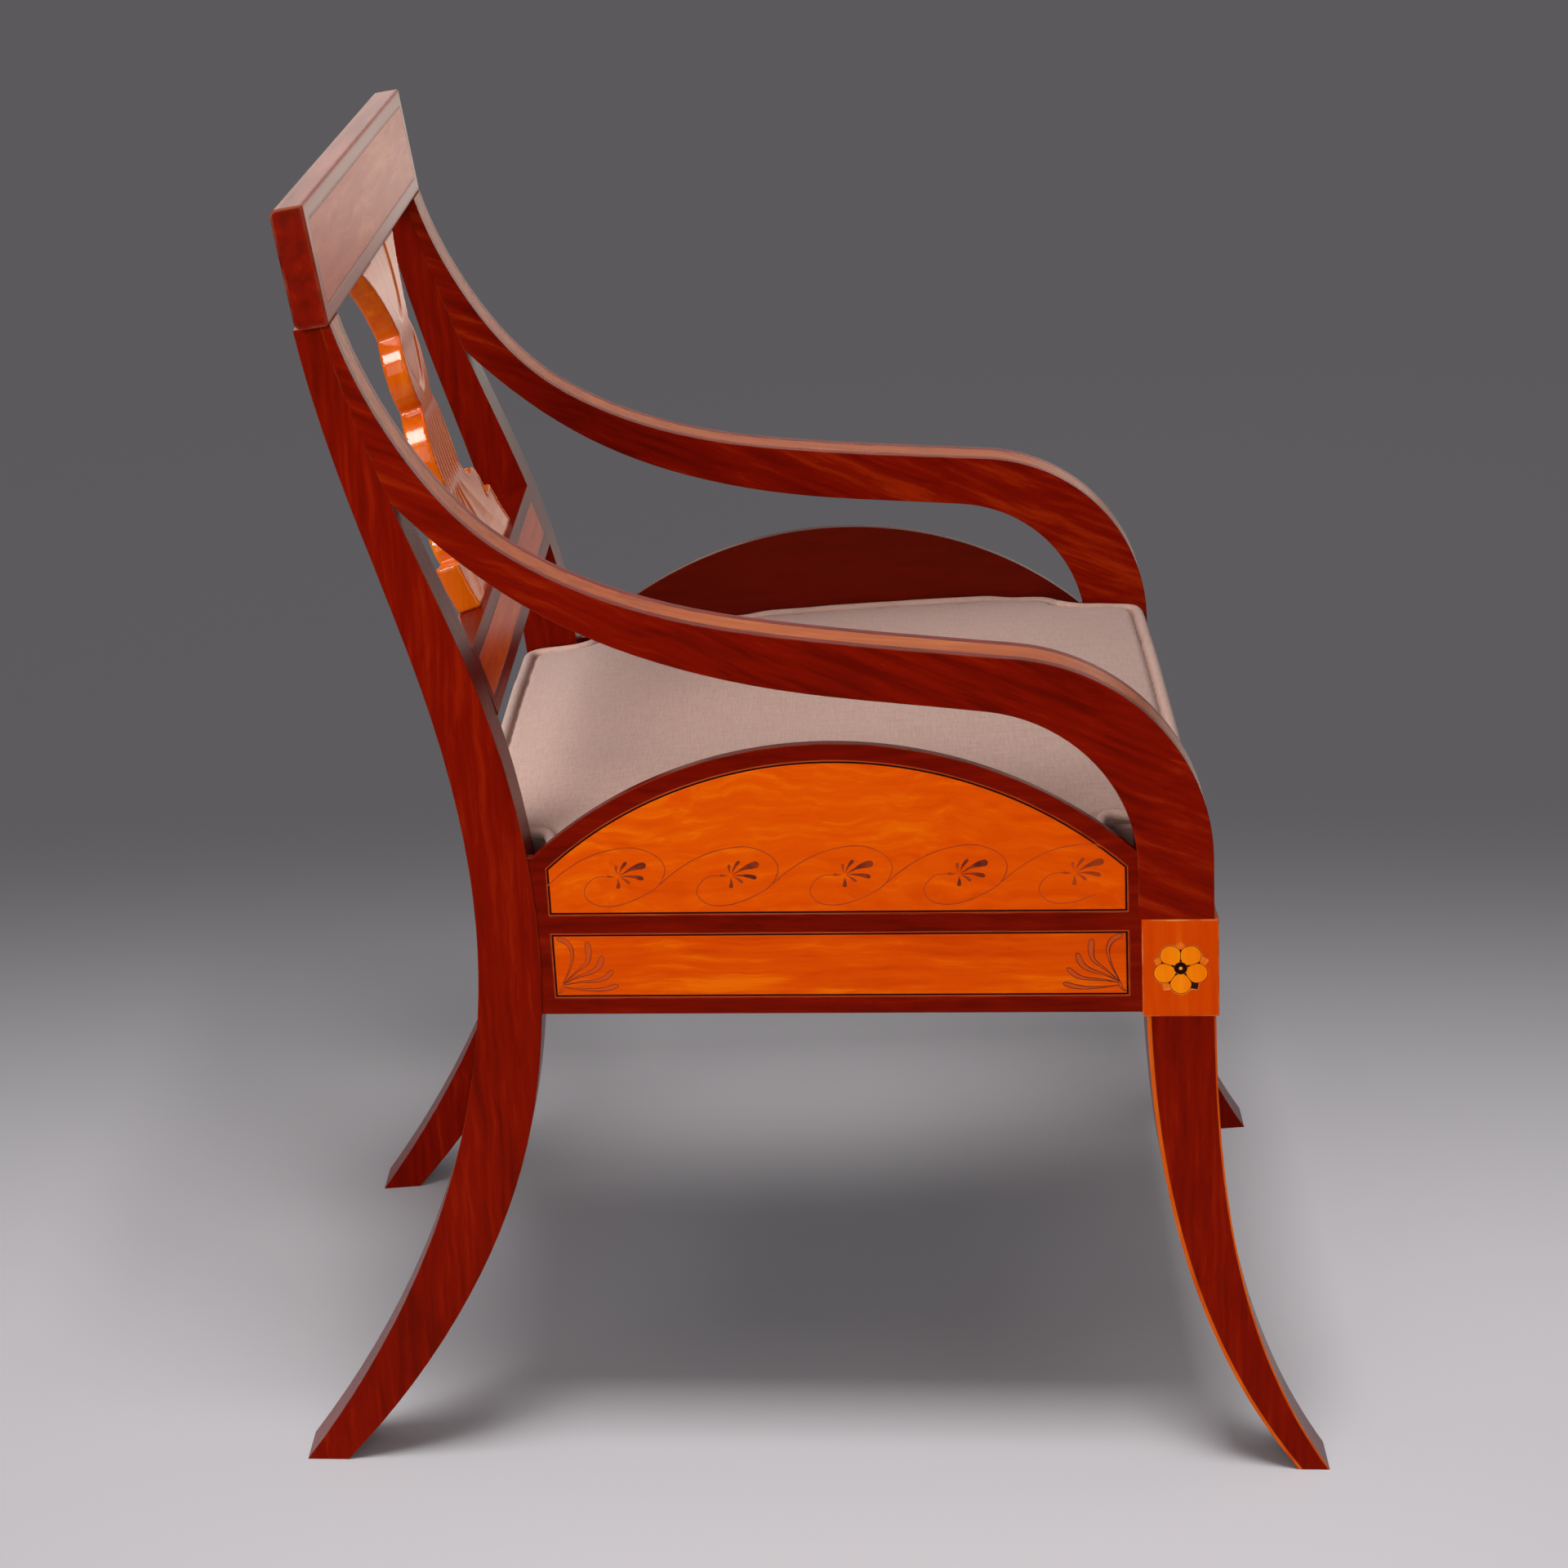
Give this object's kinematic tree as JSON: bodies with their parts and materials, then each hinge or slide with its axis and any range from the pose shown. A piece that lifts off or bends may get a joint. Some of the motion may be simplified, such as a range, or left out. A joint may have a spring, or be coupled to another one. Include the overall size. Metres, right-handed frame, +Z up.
{
  "type": "armchair",
  "caption": "Empire open armchair in red mahogany with satin-birch panels, flower inlay, sabre legs and a loose linen squab cushion.",
  "frame": {"origin": "On the floor, at the middle of the chair's overall length and width", "axes": "+X to the sitter's left, +Y to the back of the chair, +Z up; the chair faces -Y"},
  "size_m": [0.554, 0.682, 0.8497],
  "materials": {
    "mahogany": "polished red mahogany",
    "satin_birch": "polished satin birch",
    "petal_wood": "polished inlay",
    "light_line_wood": "polished stringing",
    "dark_line_wood": "polished stringing",
    "beech": "raw",
    "jute": "woven webbing",
    "calico": "plain cloth",
    "linen": "linen weave",
    "steel": "turned"
  },
  "bodies": {
    "frame": {"arm_dowels": "beech", "corner_block_screws": "steel", "corner_blocks": "beech", "crest_panel": "satin_birch", "crest_rail": "mahogany", "crest_rail_dowels": "beech", "front_dark_stringing": "dark_line_wood", "front_light_stringing": "light_line_wood", "front_rail_panel": "satin_birch", "front_seat_rail": "mahogany", "left_arm": "mahogany", "left_arm_banding": "satin_birch", "left_back_post": "mahogany", "left_dark_stringing": "dark_line_wood", "left_flower_eye": "dark_line_wood", "left_flower_petals": "petal_wood", "left_flower_pip": "light_line_wood", "left_flower_sepals": "petal_wood", "left_front_block": "satin_birch", "left_front_leg": "mahogany", "left_leg_stringing": "light_line_wood", "left_light_stringing": "light_line_wood", "left_lower_panel": "satin_birch", "left_lunette_panel": "satin_birch", "left_side_board": "mahogany", "left_side_seat_rail": "beech", "leg_dowels": "beech", "platform_cloth": "calico", "rear_seat_rail": "mahogany", "right_arm": "mahogany", "right_arm_banding": "satin_birch", "right_back_post": "mahogany", "right_dark_stringing": "dark_line_wood", "right_flower_eye": "dark_line_wood", "right_flower_petals": "petal_wood", "right_flower_pip": "light_line_wood", "right_flower_sepals": "petal_wood", "right_front_block": "satin_birch", "right_front_leg": "mahogany", "right_leg_stringing": "light_line_wood", "right_light_stringing": "light_line_wood", "right_lower_panel": "satin_birch", "right_lunette_panel": "satin_birch", "right_side_board": "mahogany", "right_side_seat_rail": "beech", "seat_rail_dowels": "beech", "seat_webbing": "jute", "side_rail_dowels": "beech", "splat": "satin_birch", "stay_panel": "satin_birch", "stay_rail": "mahogany", "stay_rail_dowels": "beech"},
    "cushion": {"seat_cushion": "linen"}
  },
  "joints": [
    {"name": "cushion_lift", "type": "slide", "parent": "frame", "child": "cushion", "axis": [0, 0, 1], "range_m": [0, 0.03]}
  ]
}
